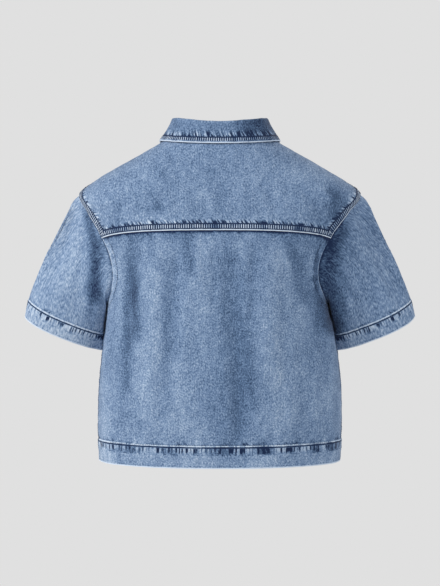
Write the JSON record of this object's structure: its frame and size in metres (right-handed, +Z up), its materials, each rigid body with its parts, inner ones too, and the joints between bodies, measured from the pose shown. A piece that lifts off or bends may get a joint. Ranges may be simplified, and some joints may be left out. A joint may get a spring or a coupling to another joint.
{
  "type": "denim shirt",
  "caption": "Short-sleeved denim shirt with a back yoke, turned-down collar, buttoned front placket and double-stitched seams, standing in its hollow worn form.",
  "frame": {"origin": "middle of the neck, level with the two points where the shoulders meet the collar", "axes": "+X towards the wearer's left, -Y out of the buttoned front, +Z up"},
  "size_m": [0.549, 0.1944, 0.4812],
  "materials": {
    "denim": "stone-washed twill",
    "denim_pale": "stone-washed twill",
    "denim_deep": "stone-washed twill",
    "button_metal": "antique"
  },
  "bodies": {
    "root": {"back_body": "denim", "back_yoke": "denim_deep", "front_left": "denim", "front_right": "denim", "front_placket": "denim_pale", "sleeve_left": "denim", "sleeve_right": "denim", "collar_stand": "denim_pale", "collar_fall": "denim", "button_stand": "button_metal", "button_1": "button_metal", "button_2": "button_metal", "button_3": "button_metal", "button_4": "button_metal", "button_5": "button_metal"}
  },
  "joints": []
}
